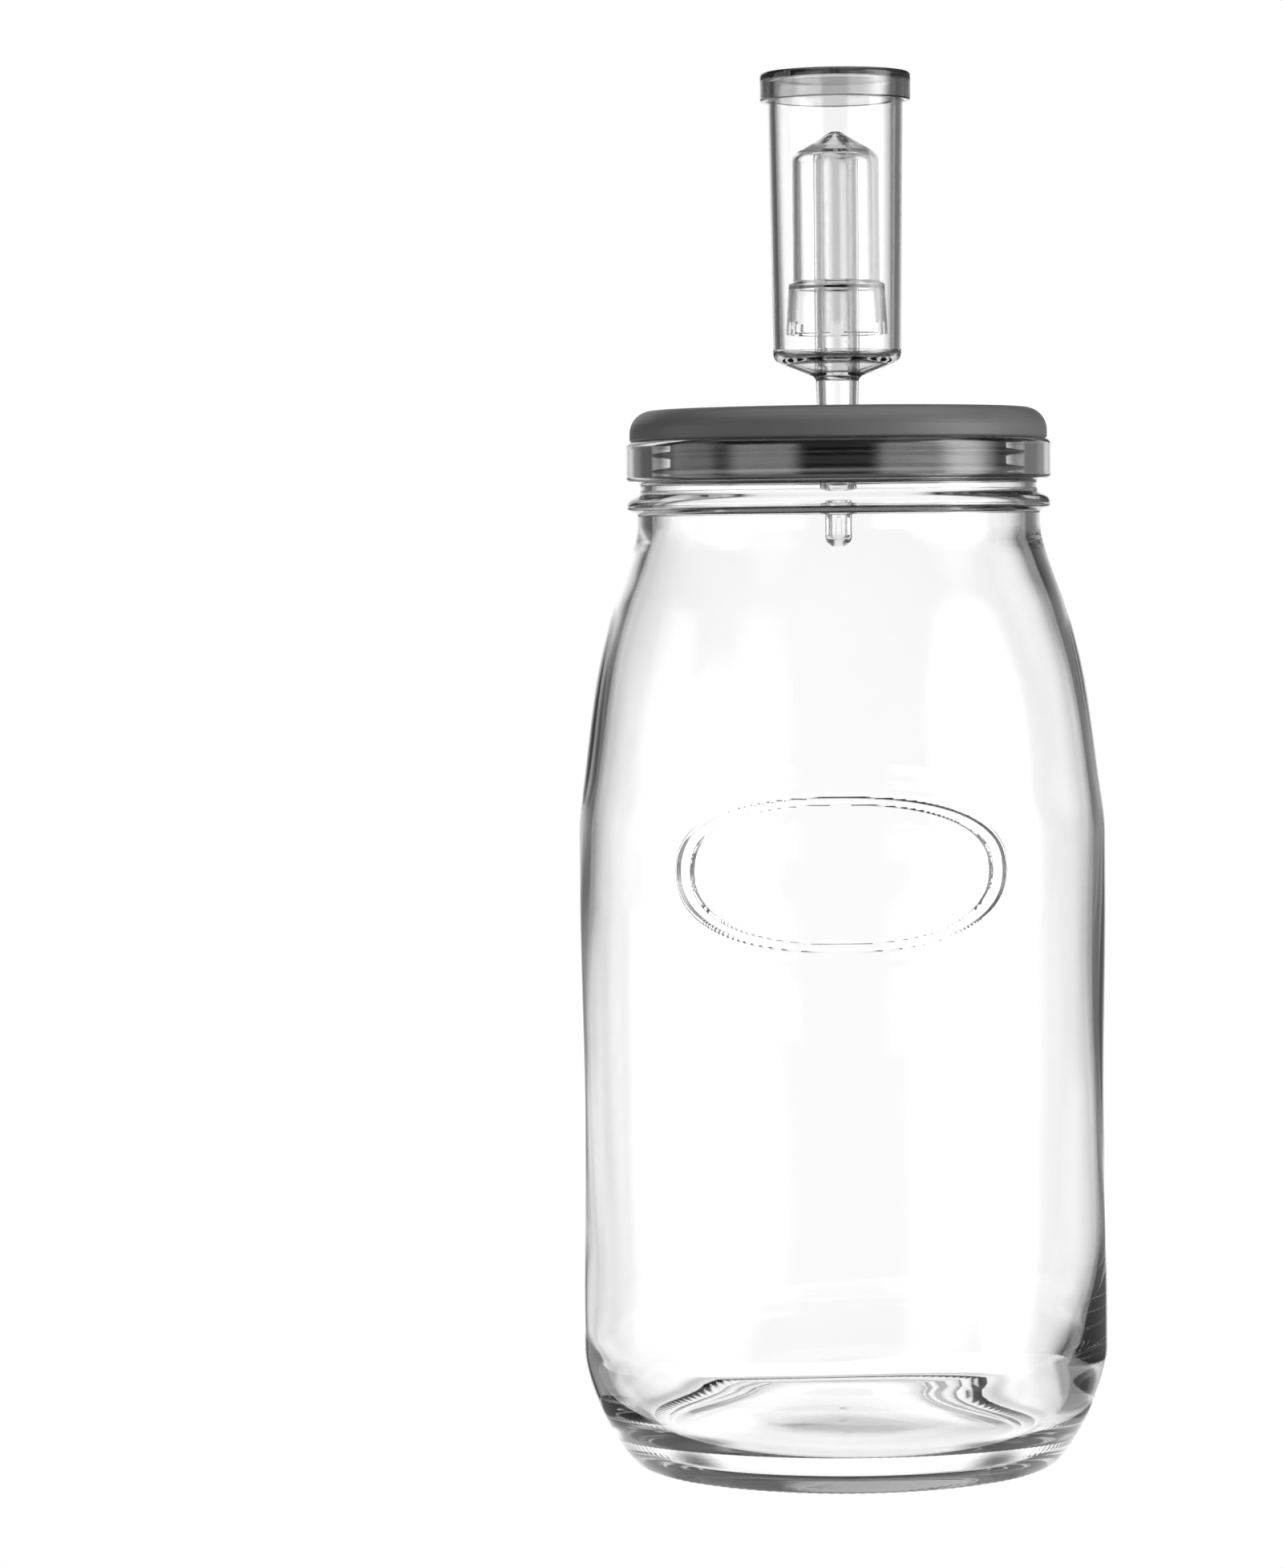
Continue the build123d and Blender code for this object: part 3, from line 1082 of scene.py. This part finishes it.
def make_world():
    """White screens all round with dark gaps between them, which draw the dark edges of the glass."""
    world = bpy.data.worlds.new("studio")
    world.use_nodes = True
    bpy.context.scene.world = world
    nodes = world.node_tree.nodes
    nodes.clear()
    maths = Maths(world.node_tree)
    place = nodes.new("ShaderNodeTexCoord").outputs["Generated"]
    x, y, rise = maths.split(place)
    light = add_soft_boxes(maths, place, y, rise, screen_light(maths, x, y, rise))
    seen = nodes.new("ShaderNodeLightPath")
    scattered = maths.number("GREATER_THAN", seen.outputs["Diffuse Depth"], 0.5)
    fill = maths.number("MULTIPLY_ADD", x, fill_level * fill_right_share, fill_level)
    light = maths.blend(scattered, light, fill)
    background = nodes.new("ShaderNodeBackground")
    background.inputs["Color"].default_value = white
    maths.feed(background.inputs["Strength"], maths.blend(seen.outputs["Is Camera Ray"], light, 1.0))
    output = nodes.new("ShaderNodeOutputWorld")
    world.node_tree.links.new(background.outputs["Background"], output.inputs["Surface"])


# Floor

disc_radius = 100.0
disc_drop = 0.05
disc_columns = 128
disc_white = 0.15
disc_glow = 1.22  # the disc glows by its own emission, as a light table does
edge_glow = 0.95
glow_fall = (45.0, 72.0)  # painted shade: how far to the sides the glow falls off
side_shade_glow = 0.08  # painted shade: dark patches on the disc at the left and right
side_shade_edge = (71.0, 80.0)
side_shade_end = (42.0, 55.0)  # how far back the painted side shade reaches
contact_shadow_glow = 0.7  # painted shadow: a faint dark ring behind the jar's foot
contact_radius = 60.0
contact_width = 4.0
contact_side = (-5.0, 12.0)
corner_shade = 0.08  # soft shade under the heel, to the front left and front right
corner_place = (38.0, -32.0)
corner_fade = (1.0, 12.0)


def floor_light(maths, place):
    """The glow of the floor, with painted shade: bright in the middle, falling off to the sides, with a
    painted shadow ring behind the foot, soft shades under the jar's edge and dark patches at the left and
    right.
    """
    x, back, _ = maths.split(place)
    across = maths.number("ABSOLUTE", x)

    def share(value, limits, start, end):
        """A smooth step between two lengths."""
        return maths.step(value, [limit * millimetre for limit in limits], start, end)

    # painted shade: the glow falls off to the sides
    glow = share(across, glow_fall, disc_glow, edge_glow)
    # painted shadow: a dark ring behind the jar's foot
    off_ring = maths.number("SUBTRACT", maths.length(place), contact_radius * millimetre)
    on_ring = share(maths.number("ABSOLUTE", off_ring), (0.0, contact_width), 1.0, 0.0)
    ring = maths.number("MULTIPLY", on_ring, share(back, contact_side, 0.0, 1.0))
    glow = maths.blend(ring, glow, contact_shadow_glow)
    corner_x, corner_y = (length * millimetre for length in corner_place)
    off_corner = maths.level_vector(
        maths.number("SUBTRACT", across, corner_x),
        maths.number("SUBTRACT", back, corner_y),
    )
    glow = maths.blend(share(maths.length(off_corner), corner_fade, 1.0, 0.0), glow, corner_shade)
    # painted shade: dark patches at the left and right of the disc
    side_shade = maths.number("MULTIPLY", share(across, side_shade_edge, 0.0, 1.0), share(back, side_shade_end, 1.0, 0.0))
    return maths.blend(side_shade, glow, side_shade_glow)


def make_floor():
    """A white disc under the jar that glows as a light table does: plain white to the camera, with painted
    shade in the glow that other rays see.
    """
    floor = turned("studio_floor", [(0.0, 0.0), (disc_radius, 0.0)], even_columns(disc_columns))
    floor.data.flip_normals()
    floor.location.z = -disc_drop * millimetre
    material, nodes, _, shader = new_material("studio_floor")
    shader.inputs["Base Color"].default_value = grey(disc_white)
    shader.inputs["Roughness"].default_value = 1.0
    shader.inputs["Specular IOR Level"].default_value = 0.0
    shader.inputs["Emission Color"].default_value = white
    maths = Maths(material.node_tree)
    glow = floor_light(maths, nodes.new("ShaderNodeTexCoord").outputs["Object"])
    seen = nodes.new("ShaderNodeLightPath")
    maths.feed(shader.inputs["Emission Strength"], maths.blend(seen.outputs["Is Camera Ray"], glow, 1.0))
    floor.data.materials.append(material)


# Lamp, in metres and watts

lamp_width = 0.35
lamp_height = 0.6
lamp_power = 5.0
lamp_place = (0.75, -0.35, 0.4)


def make_lights():
    """A soft box at the right, which lights the lid's side."""
    light = bpy.data.lights.new("right_softbox", "AREA")
    light.shape = "RECTANGLE"
    light.size = lamp_width
    light.size_y = lamp_height
    light.energy = lamp_power
    lamp = new_object("right_softbox", light)
    lamp.location = lamp_place
    target = Vector((0.0, 0.0, rim_level * millimetre))
    lamp.rotation_euler = (target - lamp.location).to_track_quat("-Z", "Y").to_euler()
    lamp.visible_camera = False
    lamp.visible_glossy = False
    lamp.visible_transmission = False


# Camera, in pixels of the photograph and metres

photo_height = 1955
focal_pixels = 6500.0
sensor = 36.0
camera_place = (0.00137, -1.37669, 0.24549)
camera_left = math.radians(2.250)
camera_down = math.radians(2.732)
camera_roll = math.radians(0.601)


def make_camera():
    """The photograph's camera: a long lens, a little above the middle of the jar."""
    data = bpy.data.cameras.new("camera")
    data.sensor_width = sensor
    data.lens = focal_pixels * sensor / photo_height
    camera = new_object("camera", data)
    turn = Matrix.Rotation(camera_left, 4, "Z")
    tilt = Matrix.Rotation(math.pi / 2 - camera_down, 4, "X")
    roll = Matrix.Rotation(-camera_roll, 4, "Z")
    camera.matrix_world = Matrix.Translation(camera_place) @ turn @ tilt @ roll
    bpy.context.scene.camera = camera


def set_light_paths():
    """Enough bounces for rays through all the nested clear walls, and plain colours."""
    scene = bpy.context.scene
    scene.cycles.max_bounces = 40
    scene.cycles.transmission_bounces = 36
    scene.cycles.glossy_bounces = 12
    scene.cycles.diffuse_bounces = 4
    scene.view_settings.view_transform = "Standard"
    scene.view_settings.look = "None"


make_camera()
make_world()
make_floor()
make_lights()
set_light_paths()
make_jar()
make_lid()
make_airlock_body()
make_bubbler()
make_cap()
